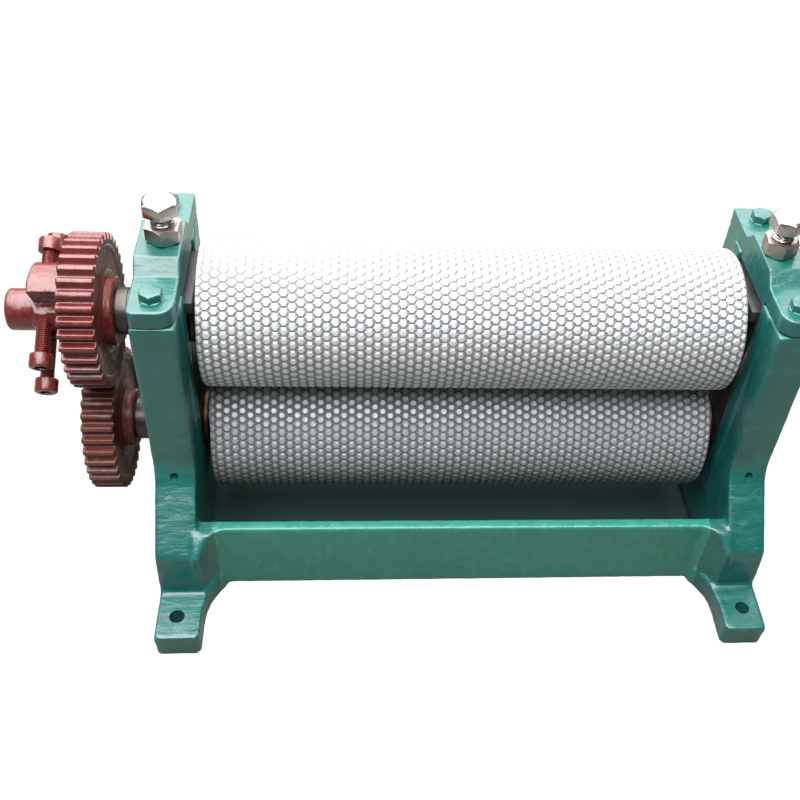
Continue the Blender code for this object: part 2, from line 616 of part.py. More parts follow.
def make_lower_gear():
    z = LOWER_AXIS_Z
    top_gap = pi / 2 + pi / TEETH
    rim = prism(gear_outline(top_gap), across(0, 0, z), LOWER_GEAR_LEFT, LOWER_GEAR_RIGHT)
    gear = place("lower_gear", rim, RED_ENAMEL, (0.0, 0.0, z))
    join(gear, rod(across(0, 0, z), LOWER_BOSS_RADIUS, LOWER_GEAR_RIGHT - OVERLAP, LOWER_BOSS_RIGHT, 24))
    cut(gear, rod(across(0, 0, z), SHAFT_RADIUS + GAP, LOWER_GEAR_LEFT - OVERLAP,
                  LOWER_BOSS_RIGHT + OVERLAP, 24))
    cut(gear, key_seat(LOWER_KEY_X, LOWER_KEY_LENGTH, z))


def make_hub_screws():
    """Socket-head screws: the back pair face the shaft's flat, the front pair stand in the shaft."""
    for name, (along, spread, tip, underside) in HUB_SCREWS.items():
        frame = hub_screw_frame(along, spread)
        top = underside + SOCKET_HEAD_HEIGHT
        edge = 0.8 * MM
        radius = HUB_SCREW_RADIUS
        profile = [(0.0, tip), (radius - edge, tip), (radius, tip + edge), (radius, underside),
                   (SOCKET_HEAD_RADIUS, underside), (SOCKET_HEAD_RADIUS, top - edge),
                   (SOCKET_HEAD_RADIUS - edge, top), (0.0, top)]
        screw = place(name, turned(profile, frame, 20), RED_ENAMEL, (0.0, 0.0, UPPER_AXIS_Z))
        cut(screw, prism(hexagon(SOCKET_FLATS), frame, top - SOCKET_DEPTH, top + OVERLAP))


def make_spacer(name, left, z):
    sleeve = tube(across(0, 0, z), SPACER_RADIUS, SHAFT_RADIUS + GAP, left, -BLOCK_OUTER - GAP, 24)
    place(name, sleeve, DARK_IRON, (0.0, 0.0, z))


def make_collar(name, z):
    """A shaft collar outside the right housing, with its own grub screw."""
    ring = tube(across(0, 0, z), COLLAR_RADIUS, SHAFT_RADIUS + GAP, COLLAR_LEFT, COLLAR_RIGHT, 24)
    collar = place(name, ring, STEEL, (0.0, 0.0, z))
    x = (COLLAR_LEFT + COLLAR_RIGHT) / 2
    radius = 2.5 * MM
    cut(collar, rod(upright(x, 0, z), radius + GAP, SHAFT_RADIUS - OVERLAP, COLLAR_RADIUS + OVERLAP, 12))
    low = SHAFT_RADIUS + GAP
    high = COLLAR_RADIUS - 0.6 * MM
    socket = 2.0 * MM
    grub = place(f"{name}_screw", rod(upright(x, 0, z), radius, low, high, 12), STEEL, (0.0, 0.0, z))
    cut(grub, prism(hexagon(2.5 * MM), upright(x, 0, z), high - socket, high + OVERLAP))


clear_scene()
MACHINE = bpy.data.objects.new("machine", None)
bpy.context.collection.objects.link(MACHINE)
MACHINE.location = (CENTRE_SHIFT, 0.0, 0.0)

for side_sign, side_name in ((-1, "left"), (1, "right")):
    make_stand(f"stand_{side_name}", side_sign)
    make_cap(f"cap_{side_name}", side_sign)
    make_lower_block(f"lower_block_{side_name}", side_sign)
    make_upper_block(f"upper_block_{side_name}", side_sign)
    make_bush(f"lower_bush_{side_name}", side_sign, LOWER_AXIS_Z)
    make_bush(f"upper_bush_{side_name}", side_sign, UPPER_AXIS_Z)
    make_adjusting_screw(f"adjusting_screw_{side_name}", side_sign)
    make_lock_nut(f"lock_nut_{side_name}", side_sign)
make_beam("beam_front", -1)
make_beam("beam_rear", 1)
make_beam_bolts()
make_cap_bolts()
make_roller("lower_roller", LOWER_AXIS_Z)
make_roller("upper_roller", UPPER_AXIS_Z)
make_lower_shaft()
make_upper_shaft()
make_key("lower_roller_key", ROLLER_OFFSET, ROLLER_KEY_LENGTH, LOWER_AXIS_Z)
make_key("upper_roller_key", ROLLER_OFFSET, ROLLER_KEY_LENGTH, UPPER_AXIS_Z)
make_key("lower_gear_key", LOWER_KEY_X, LOWER_KEY_LENGTH, LOWER_AXIS_Z)
make_upper_gear()
make_lower_gear()
make_hub_screws()
make_spacer("upper_spacer", UPPER_BOSS_RIGHT + GAP, UPPER_AXIS_Z)
make_spacer("lower_spacer", LOWER_BOSS_RIGHT + GAP, LOWER_AXIS_Z)
make_collar("lower_collar", LOWER_AXIS_Z)
make_collar("upper_collar", UPPER_AXIS_Z)
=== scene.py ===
"""Visual model of the beeswax foundation mill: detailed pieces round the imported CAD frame.

X is measured from the plane midway between the housings and moved into the row frame by SHIFT; Z is measured
from the surface that the feet stand on. Sizes are in metres, written as millimetres times MM. Outlines are
lists of plain millimetres, which scaled() turns into metres.
"""

from math import cos, hypot, pi, radians, sin, sqrt, tan

import bmesh
import bpy
from mathutils import Matrix, Vector, noise


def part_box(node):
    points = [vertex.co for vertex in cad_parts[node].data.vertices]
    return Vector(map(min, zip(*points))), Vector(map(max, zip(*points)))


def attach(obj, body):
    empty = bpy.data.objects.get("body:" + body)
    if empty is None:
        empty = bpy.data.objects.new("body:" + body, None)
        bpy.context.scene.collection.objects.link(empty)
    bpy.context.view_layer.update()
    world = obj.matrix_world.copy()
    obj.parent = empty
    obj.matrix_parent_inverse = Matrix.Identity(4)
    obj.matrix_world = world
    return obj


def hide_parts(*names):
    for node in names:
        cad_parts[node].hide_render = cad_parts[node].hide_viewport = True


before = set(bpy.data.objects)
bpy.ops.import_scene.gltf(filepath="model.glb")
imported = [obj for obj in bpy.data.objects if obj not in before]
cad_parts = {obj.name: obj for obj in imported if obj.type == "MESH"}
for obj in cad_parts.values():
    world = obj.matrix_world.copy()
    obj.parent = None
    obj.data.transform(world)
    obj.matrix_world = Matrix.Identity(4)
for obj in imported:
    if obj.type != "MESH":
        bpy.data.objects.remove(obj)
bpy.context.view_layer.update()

MM = 0.001
UP = Vector((0.0, 0.0, 1.0))
left_box, right_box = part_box("stand_left"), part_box("stand_right")
SHIFT = Vector(((left_box[0].x + right_box[1].x) / 2, 0.0, 0.0))

UPPER_Z = 160.0 * MM
LOWER_Z = 73.6 * MM
ROLLER_RADIUS = 43.0 * MM
SHAFT_RADIUS = 12.0 * MM
SHAFT_HOLE = 12.3 * MM
SHAFT_RIGHT_END = 200.0 * MM
STAND_CENTRE = 176.0 * MM
SCREW_X = 173.6 * MM
SCREW_RADIUS = 6.0 * MM
BEAM_BOLT_Y = 78.5 * MM
BEAM_BOLT_HEIGHTS = {"upper": 44.0 * MM, "lower": 18.0 * MM}
BEAM_BOLT_SEAT = 183.4 * MM         # floor of the counterbore round each beam bolt
HUB_TILT = radians(30.0)            # the hub screws' direction above the horizontal
HUB_SCREW_X = -244.5 * MM
SIDES = ((-1, "left"), (1, "right"))
FACES = ((-1, "front"), (1, "rear"))


# ---------------------------------------------------------------------------- mesh helpers

def axes_at(origin, third, first):
    """A matrix whose third column is the axis, whose first is near the given direction."""
    w = Vector(third).normalized()
    u = (Vector(first) - w * Vector(first).dot(w)).normalized()
    return Matrix.Translation(origin) @ Matrix((u, w.cross(u), w)).transposed().to_4x4()


def across(x=0.0, y=0.0, z=0.0):
    """Outline axes Y and Z, third axis X."""
    return axes_at((x, y, z), (1, 0, 0), (0, 1, 0))


def upright(x=0.0, y=0.0, z=0.0):
    """Outline axes X and Y, third axis Z."""
    return axes_at((x, y, z), (0, 0, 1), (1, 0, 0))


def arc(centre, radius, start, end, steps):
    angles = [start + (end - start) * step / steps for step in range(steps + 1)]
    return [(centre[0] + radius * cos(a), centre[1] + radius * sin(a)) for a in angles]


def mirrored(half):
    return half + [(-a, b) for a, b in reversed(half)]


def block(left, right, low, high):
    """A rectangle as an outline."""
    return [(left, low), (right, low), (right, high), (left, high)]


def scaled(outline, first=1, second=1):
    """An outline in metres; the two signs can put it on the other side."""
    return [(first * a * MM, second * b * MM) for a, b in outline]


def stack(bm, sections, cap=True):
    """Joins rings of points into a closed skin; each section is a list of the same length."""
    rings = [[bm.verts.new(p) for p in section] for section in sections]
    count = len(rings[0])
    for low, high in zip(rings, rings[1:]):
        for i in range(count):
            j = (i + 1) % count
            bm.faces.new((low[i], low[j], high[j], high[i]))
    if cap:
        for ring in (rings[0], rings[-1]):
            bm.faces.new(ring)
    return rings


def prism(bm, outline, axes, low, high):
    stack(bm, [[axes @ Vector((a, b, level)) for a, b in outline] for level in (low, high)])


def turn(bm, profile, axes, segments):
    """A closed body turned about the third axis, from a list of (radius, along)."""
    rings = []
    for radius, along in profile:
        count = 1 if radius == 0.0 else segments
        ring = []
        for i in range(count):
            a = 2 * pi * i / segments
            ring.append(bm.verts.new(axes @ Vector((radius * cos(a), radius * sin(a), along))))
        rings.append(ring)
    pairs = list(zip(rings, rings[1:]))
    if len(rings[0]) > 1:
        pairs.append((rings[-1], rings[0]))
    for low, high in pairs:
        for i in range(segments):
            j = (i + 1) % segments
            loop = (low[i % len(low)], low[j % len(low)], high[j % len(high)], high[i % len(high)])
            corners = list(dict.fromkeys(loop))
            if len(corners) > 2:
                bm.faces.new(corners)


def rod(bm, axes, radius, low, high, segments):
    turn(bm, [(0.0, low), (radius, low), (radius, high), (0.0, high)], axes, segments)


def outward(bm):
    """Turns the faces of every closed shell outwards."""
    bmesh.ops.recalc_face_normals(bm, faces=bm.faces)
    waiting = set(bm.faces)
    while waiting:
        shell = []
        reached = [waiting.pop()]
        while reached:
            face = reached.pop()
            shell.append(face)
            for edge in face.edges:
                for other in edge.link_faces:
                    if other in waiting:
                        waiting.remove(other)
                        reached.append(other)
        volume = 0.0
        for face in shell:
            a = face.verts[0].co
            for b, c in zip(face.verts[1:], face.verts[2:]):
                volume += a.dot(b.co.cross(c.co))
        if volume < 0.0:
            bmesh.ops.reverse_faces(bm, faces=shell)


def as_object(name, bm):
    outward(bm)
    mesh = bpy.data.meshes.new(name)
    bm.to_mesh(mesh)
    bm.free()
    thing = bpy.data.objects.new(name, mesh)
    bpy.context.scene.collection.objects.link(thing)
    return thing


def settle(thing):
    """Applies an object's modifiers to its own mesh."""
    graph = bpy.context.evaluated_depsgraph_get()
    made = bpy.data.meshes.new_from_object(thing.evaluated_get(graph))
    old = thing.data
    thing.modifiers.clear()
    thing.data = made
    made.name = thing.name
    bpy.data.meshes.remove(old)
    return thing


def carve(thing, bm, operation="DIFFERENCE"):
    tool = as_object("tool", bm)
    step = thing.modifiers.new("carve", "BOOLEAN")
    step.operation = operation
    step.solver = "EXACT"
    step.object = tool
    settle(thing)
    bpy.data.objects.remove(tool)
    return thing


def cast(thing, voxel, rounds, keep, lump=0.0, lump_size=6.0 * MM):
    """Makes a sharp solid look cast: rounded edges, small lumps, then fewer faces."""
    step = thing.modifiers.new("remesh", "REMESH")
    step.mode = "VOXEL"
    step.voxel_size = voxel
    step = thing.modifiers.new("smooth", "SMOOTH")
    step.factor = 0.5
    step.iterations = rounds
    settle(thing)
    if lump:
        moved = []
        for co, normal in [(v.co.copy(), v.normal.copy()) for v in thing.data.vertices]:
            wave = noise.noise(co / lump_size) + 0.5 * noise.noise(co / (lump_size * 0.4) + UP)
            moved.extend(co + normal * (lump * wave))
        thing.data.vertices.foreach_set("co", moved)
    step = thing.modifiers.new("fewer", "DECIMATE")
    step.ratio = keep
    return settle(thing)


def clip(bm, point, normal):
    """Cuts away what lies beyond a plane and closes the cut."""
    geometry = bm.verts[:] + bm.edges[:] + bm.faces[:]
    bmesh.ops.bisect_plane(bm, geom=geometry, plane_co=point, plane_no=normal, clear_outer=True)
    rim = [e for e in bm.edges if e.is_boundary]
    if rim:
        bmesh.ops.triangle_fill(bm, edges=rim, use_beauty=True)


def absorb(bm, other):
    """Adds another bmesh's geometry to bm and frees the other."""
    mesh = bpy.data.meshes.new("absorbed")
    other.to_mesh(mesh)
    other.free()
    bm.from_mesh(mesh)
    bpy.data.meshes.remove(mesh)


def absorb_object(bm, thing):
    """Moves an object's mesh into bm."""
    bm.from_mesh(thing.data)
    bpy.data.objects.remove(thing)


def soften(thing, width, segments=2, angle=30.0):
    """Rounds the edges of a machined piece."""
    step = thing.modifiers.new("soften", "BEVEL")
    step.width = width
    step.segments = segments
    step.limit_method = "ANGLE"
    step.angle_limit = radians(angle)
    return settle(thing)


def finish_piece(thing, body, material, slot, *nodes, angle=32.0):
    """Shades a piece, gives it its material, puts it on its body and hides the CAD nodes it stands for."""
    thing.data.shade_smooth()
    thing.data.set_sharp_from_angle(angle=radians(angle))
    thing.data.materials.clear()
    thing.data.materials.append(material)
    thing.location = SHIFT
    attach(thing, body)
    if nodes:
        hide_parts(*nodes)
    return thing


# ---------------------------------------------------------------------------- materials

class Shader:
    """A material under construction, with short calls for the nodes used here."""

    def __init__(self, name):
        self.material = bpy.data.materials.new(name)
        self.material.use_nodes = True
        self.tree = self.material.node_tree
        self.main = self.tree.nodes["Principled BSDF"]
        self.place = self.node("ShaderNodeTexCoord").outputs["Object"]

    def node(self, kind, **inputs):
        made = self.tree.nodes.new(kind)
        for key, value in inputs.items():
            self.feed(made.inputs[key.replace("_", " ")], value)
        return made

    def feed(self, socket, value):
        if isinstance(value, bpy.types.NodeSocket):
            self.tree.links.new(value, socket)
        else:
            socket.default_value = value

    def set(self, **inputs):
        for key, value in inputs.items():
            self.feed(self.main.inputs[key.replace("_", " ")], value)

    def stretched(self, x, y, z):
        made = self.node("ShaderNodeMapping", Vector=self.place)
        made.inputs["Scale"].default_value = (x, y, z)
        return made.outputs["Vector"]

    def noise(self, scale, detail=3.0, roughness=0.5, vector=None, distortion=0.0):
        made = self.node("ShaderNodeTexNoise", Vector=vector or self.place, Scale=scale, Detail=detail,
                         Roughness=roughness, Distortion=distortion)
        return made.outputs["Fac"]

    def ramp(self, value, low, high, start=0.0, end=1.0):
        """Maps value from low..high to start..end, clamped."""
        made = self.node("ShaderNodeMapRange", Value=value)
        for key, number in (("From Min", low), ("From Max", high), ("To Min", start), ("To Max", end)):
            made.inputs[key].default_value = number
        return made.outputs["Result"]

    def mix(self, factor, first, second):
        """Mixes two colours; sockets 6, 7 and 2 are the node's colour sockets."""
        made = self.tree.nodes.new("ShaderNodeMix")
        made.data_type = "RGBA"
        self.feed(made.inputs["Factor"], factor)
        for socket, value in ((made.inputs[6], first), (made.inputs[7], second)):
            self.feed(socket, (*value, 1.0) if isinstance(value, tuple) else value)
        return made.outputs[2]

    def sum(self, first, second, operation="ADD"):
        made = self.tree.nodes.new("ShaderNodeMath")
        made.operation = operation
        self.feed(made.inputs[0], first)
        self.feed(made.inputs[1], second)
        return made.outputs[0]

    def bump(self, height, distance, strength=1.0, under=None):
        made = self.node("ShaderNodeBump", Height=height, Distance=distance, Strength=strength)
        if under is not None:
            self.feed(made.inputs["Normal"], under)
        return made.outputs["Normal"]


def enamel(name, colour, shade, light, wear, strokes, coat, shine):
    """Thick brushed enamel over a casting: brush strokes, small lumps, thin worn edges."""
    s = Shader(name)
    cloud = s.noise(26.0, 4.0, 0.6)
    fine = s.noise(420.0, 3.0, 0.6)
    brush = s.noise(1.0, 4.0, 0.55, s.stretched(*strokes), 0.4)
    base = s.mix(s.ramp(cloud, 0.35, 0.7), shade, colour)
    base = s.mix(s.ramp(brush, 0.56, 0.8, 0.0, 0.55), base, light)
    edge = s.node("ShaderNodeNewGeometry").outputs["Pointiness"]
    worn = s.sum(s.ramp(edge, 0.535, 0.6), s.ramp(fine, 0.45, 0.62), "MULTIPLY")
    base = s.mix(s.sum(worn, 0.6, "MULTIPLY"), base, wear)
    rough = s.ramp(brush, 0.3, 0.75, 0.26, 0.48)
    lumps = s.bump(s.noise(150.0, 3.0, 0.55), 0.0006, 0.55)
    s.set(Base_Color=base, Roughness=rough, Coat_Weight=coat, Coat_Roughness=0.2,
          Specular_IOR_Level=shine, Normal=s.bump(brush, 0.0007, 1.0, s.bump(fine, 0.0002, 0.6, lumps)))
    return s.material


def metal(name, colour, tarnish, roughness, metallic=1.0, lines=None, hollow_colour=None):
    """Bare or plated metal with machining lines, patches of tarnish and, where asked, a darker colour in its
    hollows.
    """
    s = Shader(name)
    cloud = s.noise(55.0, 4.0, 0.6)
    grain = s.noise(1.0, 2.0, 0.5, s.stretched(*(lines or (900.0, 900.0, 900.0))))
    base = s.mix(s.ramp(cloud, 0.42, 0.7), colour, tarnish)
    if hollow_colour:
        # Where Pointiness is low, in hollows and creases, the colour turns to the darker hollow colour.
        edge = s.node("ShaderNodeNewGeometry").outputs["Pointiness"]
        base = s.mix(s.ramp(edge, 0.49, 0.42), base, hollow_colour)
    rough = s.sum(s.ramp(cloud, 0.3, 0.7, roughness * 0.75, roughness * 1.3),
                  s.ramp(grain, 0.3, 0.7, 0.0, 0.1))
    s.set(Base_Color=base, Metallic=metallic, Roughness=rough, Normal=s.bump(grain, 0.0001, 0.35))
    return s.material


def engraved_alloy(name, land, cut, roughness):
    """Silver-white roller alloy: bright lands, and rougher cut grooves whose darker colour is painted shade.
    """
    s = Shader(name)
    depth = s.node("ShaderNodeAttribute")
    depth.attribute_name = "depth"
    groove = depth.outputs["Fac"]
    cloud = s.noise(38.0, 4.0, 0.6)
    speck = s.noise(1400.0, 2.0, 0.6)
    bright = s.mix(s.ramp(cloud, 0.35, 0.7), land, tuple(0.92 * c for c in land))
    # The grooves' darker colour is painted shade, for the lands round them shading the grooves.
    groove_painted_shade = s.mix(s.ramp(cloud, 0.3, 0.7), cut, tuple(0.85 * c for c in cut))
    base = s.mix(s.ramp(groove, 0.05, 0.5), bright, groove_painted_shade)
    rough = s.sum(s.ramp(groove, 0.05, 0.6, roughness, roughness + 0.08),
                  s.ramp(speck, 0.35, 0.7, -0.05, 0.1))
    s.set(Base_Color=base, Metallic=0.7, Roughness=rough, Normal=s.bump(speck, 0.00006, 0.5))
    return s.material


ALONG_Y, ALONG_X = (70.0, 260.0, 90.0), (260.0, 70.0, 90.0)       # how brush strokes are stretched
FINE_STROKES = (240.0, 160.0, 160.0)
TURNED = (120.0, 1500.0, 1500.0)
PLATED = (300.0, 300.0, 300.0)

GREEN = enamel("green_enamel_brushed", colour=(0.005, 0.102, 0.085), shade=(0.0035, 0.08, 0.067),
               light=(0.022, 0.185, 0.162), wear=(0.09, 0.32, 0.29), strokes=ALONG_Y, coat=0.5, shine=0.5)
# The beams get a lighter copy of the housings' green enamel: painted light, for the beams' fronts catching
# more light than the housings'.
GREEN_BEAM_PAINTED_LIGHT = enamel("green_enamel_beam_painted_light", colour=(0.022, 0.2, 0.15), shade=(0.016, 0.165, 0.123),
                    light=(0.05, 0.27, 0.215), wear=(0.12, 0.34, 0.3), strokes=ALONG_X, coat=0.35, shine=0.45)
RED = enamel("red_enamel_thick", colour=(0.135, 0.013, 0.01), shade=(0.085, 0.008, 0.007),
             light=(0.23, 0.03, 0.02), wear=(0.26, 0.08, 0.06), strokes=FINE_STROKES, coat=0.5, shine=0.45)
RED_DUSTY = enamel("red_enamel_dusty", colour=(0.125, 0.032, 0.022), shade=(0.085, 0.022, 0.017),
                   light=(0.2, 0.07, 0.05), wear=(0.27, 0.11, 0.08), strokes=FINE_STROKES,
                   coat=0.1, shine=0.4)
RED_FACE = enamel("red_enamel_matt_face", colour=(0.1, 0.028, 0.018), shade=(0.07, 0.018, 0.013),
                  light=(0.15, 0.05, 0.035), wear=(0.2, 0.1, 0.075), strokes=(160.0, 240.0, 240.0),
                  coat=0.0, shine=0.08)
BLACK = metal("oiled_black_iron", (0.035, 0.033, 0.037), (0.055, 0.05, 0.05), 0.42, metallic=0.35)
STEEL = metal("turned_steel", (0.27, 0.26, 0.265), (0.16, 0.14, 0.13), 0.3, lines=TURNED)
DARK_STEEL = metal("dark_sleeve_steel", (0.075, 0.068, 0.068), (0.11, 0.095, 0.085), 0.32, metallic=0.8)
ZINC = metal("bright_zinc", (0.52, 0.5, 0.48), (0.36, 0.3, 0.27), 0.24, lines=PLATED, hollow_colour=(0.2, 0.14, 0.11))
OLD_ZINC = metal("worn_zinc", (0.42, 0.36, 0.33), (0.24, 0.16, 0.13), 0.3, lines=PLATED,
                 hollow_colour=(0.12, 0.07, 0.05))
BRONZE = metal("bush_bronze", (0.2, 0.13, 0.07), (0.1, 0.07, 0.045), 0.4)
# The second colour of each alloy is for its cut grooves; being darker, it is painted shade.
ALLOY = engraved_alloy("roller_alloy_bright", (0.74, 0.75, 0.77), (0.33, 0.338, 0.35), 0.47)
# The lower roller gets a darker copy of the same alloy: painted shade from the upper roller above it.
ALLOY_PAINTED_SHADE = engraved_alloy("roller_alloy_painted_shade", (0.47, 0.485, 0.5), (0.235, 0.245, 0.255), 0.56)


# ---------------------------------------------------------------------------- castings

HOUSING = (164.0, 188.0)             # plain millimetres from here to FOOT_TOP, for the outlines
PAD = (162.6, 170.0)                 # raised machined strip beside the window
PAD_EDGE = 37.0
WINDOW_HALF, WINDOW_FLOOR = 25.2, 43.3
COLUMN_HALF, COLUMN_HALF_FOOT, COLUMN_TOP = 55.8, 56.8, 193.0
FLARE_RADIUS = 25.0
LEDGE_HALF, LEDGE_Z = 92.6, 50.8     # where the flared shoulder ends
FOOT_INNER, FOOT_TOP = 161.5, 17.2
FLARE_ANGLE = radians(42.0)          # slope of the shoulder below the horizontal
BEAM_END = 153.0 * MM                # where each beam is parted from the housings' webs
CAST_ANGLE = 50.0                    # edges sharper than this stay sharp on a casting


def side_range(side, span):
    return sorted(side * edge * MM for edge in span)


def housing_profile():
    """Half of a housing seen along the rollers, from the arch under it round to the window's floor."""
    foot = [(-83.0, 5.0), (-88.0, 0.0), (-127.0, 0.0)]
    foot += arc((-126.0, 14.2), 3.0, pi, radians(92.0), 4) + [(-96.6, FOOT_TOP)]
    body = arc((-96.6, 18.6), 1.4, -pi / 2, 0.0, 2) + [(-95.0, 30.0), (-93.6, 42.0)]
    ledge = arc((-88.0, 45.4), 5.2, radians(184.0), radians(128.0), 6)
    steep = pi / 2 - FLARE_ANGLE
    reach = LEDGE_HALF - COLUMN_HALF_FOOT - FLARE_RADIUS * (1 - cos(steep))
    height = LEDGE_Z + reach * tan(FLARE_ANGLE) + FLARE_RADIUS * sin(steep)
    flare = arc((-(COLUMN_HALF_FOOT + FLARE_RADIUS), height), FLARE_RADIUS, -steep, 0.0, 8)
    column = [(-COLUMN_HALF, COLUMN_TOP), (-WINDOW_HALF, COLUMN_TOP), (-WINDOW_HALF, WINDOW_FLOOR)]
    return foot + body + ledge + flare + column


def stand_blank(bm, side):
    """One housing with its machined pads, before the small holes."""
    prism(bm, scaled(mirrored(housing_profile())), across(), *side_range(side, HOUSING))
    for toward in (-1, 1):
        pad = block(WINDOW_HALF, PAD_EDGE, WINDOW_FLOOR, COLUMN_TOP)
        prism(bm, scaled(pad, toward), across(), *side_range(side, PAD))


def foot_and_gusset(bm, side, toward):
    """The foot's rounded plan, and the web that sweeps from the beam to the housing's shoulder."""
    outer = HOUSING[1]
    foot = [(166.0, 84.0), (164.0, 92.0), (162.4, 104.0), (FOOT_INNER, 114.0)]
    foot += arc((FOOT_INNER + 4.0, 125.0), 4.0, pi, pi / 2, 4)
    foot += arc((outer - 3.6, 125.4), 3.6, pi / 2, 0.0, 4) + [(outer, 84.0)]
    prism(bm, scaled(foot, side, toward), upright(), 0.0, FOOT_TOP * MM)
    low = [(168.0, 74.0), (149.5, 73.5), (150.3, 80.4), (154.6, 86.6), (158.4, 93.6), (160.4, 101.0),
           (161.3, 110.0), (161.8, 121.0), (168.0, 121.0)]
    prism(bm, scaled(low, side, toward), upright(), 2.0 * MM, FOOT_TOP * MM)
    sweep = [(166.0, 74.0), (148.0, 73.5), (149.0, 80.0), (153.5, 82.2), (157.6, 86.0), (160.4, 90.4),
             (162.2, 95.2), (166.0, 95.2)]
    web = bmesh.new()
    prism(web, scaled(sweep, side, toward), upright(), 4.0 * MM, 58.0 * MM)
    slope = (0, toward * sin(FLARE_ANGLE), cos(FLARE_ANGLE))
    clip(web, (0, toward * LEDGE_HALF * MM, LEDGE_Z * MM), slope)
    absorb(bm, web)


def frame_castings():
    """Housings and beams cast in one run of fillets, then parted where the beams meet the webs."""
    bm = bmesh.new()
    for side in (-1, 1):
        stand_blank(bm, side)
        for toward in (-1, 1):
            foot_and_gusset(bm, side, toward)
    for toward in (-1, 1):
        prism(bm, scaled(block(73.0, 80.0, 5.0, 58.0), toward), across(), -166.0 * MM, 166.0 * MM)
    return cast(as_object("frame_castings", bm), voxel=1.2 * MM, rounds=4, keep=0.2, lump=0.16 * MM)


def part_of(whole, name, *planes):
    """The part of a mesh on the near side of some planes, with its cuts closed."""
    bm = bmesh.new()
    bm.from_mesh(whole.data)
    for point, normal in planes:
        clip(bm, point, normal)
    return as_object(name, bm)


def drill(bm, side, toward):
    """The foot's bolt hole, the beam bolts' counterbores and a small tapped hole in the column."""
    rod(bm, upright(side * STAND_CENTRE, toward * 113.3 * MM), 4.6 * MM, -2 * MM, 20 * MM, 32)
    for height in sorted(BEAM_BOLT_HEIGHTS.values()):
        axes = axes_at((0, toward * BEAM_BOLT_Y, height), (side, 0, 0), (0, 1, 0))
        rod(bm, axes, 7.0 * MM, BEAM_BOLT_SEAT, 195 * MM, 36)
    axes = axes_at((side * 176.3 * MM, 0.0, 82.5 * MM), (0, toward, 0), (1, 0, 0))
    rod(bm, axes, 2.6 * MM, 46 * MM, 70 * MM, 24)


def make_housing(whole, side, end):
    stand = part_of(whole, f"housing_{end}", ((side * BEAM_END, 0, 0), (-side, 0, 0)))
    holes = bmesh.new()
    for toward in (-1, 1):
        drill(holes, side, toward)
    carve(stand, holes)
    window = bmesh.new()
    opening = block(-WINDOW_HALF, WINDOW_HALF, WINDOW_FLOOR, 200.0)
    prism(window, scaled(opening), across(), -200 * MM, 200 * MM)
    carve(stand, window)
    finish_piece(stand, "frame", GREEN, "green_enamel", f"stand_{end}", angle=CAST_ANGLE)


def make_frame():
    whole = frame_castings()
    for side, end in SIDES:
        make_housing(whole, side, end)
    for toward, face in FACES:
        beam = part_of(whole, f"{face}_beam_casting", ((BEAM_END, 0, 0), (1, 0, 0)),
                       ((-BEAM_END, 0, 0), (-1, 0, 0)), ((0, 0, 0), (0, -toward, 0)))
        # The beams wear the lighter copy of the green, which is painted light.
        finish_piece(beam, "frame", GREEN_BEAM_PAINTED_LIGHT, "green_enamel", f"beam_{face}", angle=CAST_ANGLE)
    bpy.data.objects.remove(whole)


def cap_plan():
    """A cap seen from above: a large corner at the front towards the roller, a small one at the rear."""
    plan = []
    for toward, corner in ((-1, 9.4), (1, 1.6)):
        inner = arc((163.8 + corner, 56.0 - corner), corner, pi, pi / 2, 8)
        half = inner + arc((183.8, 51.8), 4.2, pi / 2, 0.0, 5)
        half = [(a, toward * b) for a, b in half]
        plan += half if toward < 0 else list(reversed(half))
    return plan


def make_cap(side, end):
    """A cap with a raised middle and a tongue between the columns."""
    half = [(25.0, 189.5), (25.0, 193.4), (55.8, 193.4), (55.8, 203.9), (24.8, 203.9), (16.8, 211.4)]
    bm = bmesh.new()
    prism(bm, scaled(mirrored(half)), across(), *side_range(side, (150.0, 200.0)))
    cap = as_object(f"cap_casting_{end}", bm)
    bm = bmesh.new()
    prism(bm, scaled(cap_plan(), side), upright(), 180 * MM, 220 * MM)
    carve(cap, bm, "INTERSECT")
    cast(cap, voxel=0.6 * MM, rounds=5, keep=0.3, lump=0.1 * MM, lump_size=5.0 * MM)
    hole = bmesh.new()
    rod(hole, upright(side * SCREW_X), SCREW_RADIUS + 0.3 * MM, 180 * MM, 220 * MM, 40)
    carve(cap, hole)
    finish_piece(cap, "frame", GREEN, "green_enamel", f"cap_{end}", angle=CAST_ANGLE)


# ---------------------------------------------------------------------------- fasteners

def hexagon(flats):
    return arc((0.0, 0.0), flats / sqrt(3.0), 0.0, 2 * pi * 5 / 6, 5)


def hex_body(name, axes, flats, low, high, crown=0.475, base=None):
    """A hexagon with its corners turned off at the top, and at the bottom if asked; crown and base
    are the radii of the round faces left there, as shares of the width across flats."""
    bm = bmesh.new()
    prism(bm, hexagon(flats), axes, low, high)
    body = as_object(name, bm)
    wide = flats * 0.75
    rise = tan(radians(32.0))
    just = 0.01 * MM
    profile = [(0.0, low - 1 * MM), (wide, low - 1 * MM)]
    if base:
        small = flats * base
        profile = [(0.0, low - just), (small, low - just), (wide, low + (wide - small) * rise)]
    small = flats * crown
    profile += [(wide, high - (wide - small) * rise), (small, high + just), (0.0, high + just)]
    bm = bmesh.new()
    turn(bm, profile, axes, 64)
    return carve(body, bm, "INTERSECT")


def threaded_rod(bm, axes, radius, pitch, depth, low, high, around=36, tip=0.8 * MM):
    """A rod whose skin follows a screw thread, with turned-down ends."""
    steps = int(round((high - low) / pitch * 6))
    sections = []
    for k in range(steps + 1):
        along = low + (high - low) * k / steps
        ring = []
        for i in range(around):
            turns = (along / pitch - i / around) % 1.0
            cut = depth * max(0.0, 1.0 - abs(turns - 0.5) / 0.42)
            ends = max(0.0, tip - min(along - low, high - along))
            r = radius - max(cut, ends)
            a = 2 * pi * i / around
            ring.append(axes @ Vector((r * cos(a), r * sin(a), along)))
        sections.append(ring)
    stack(bm, sections)


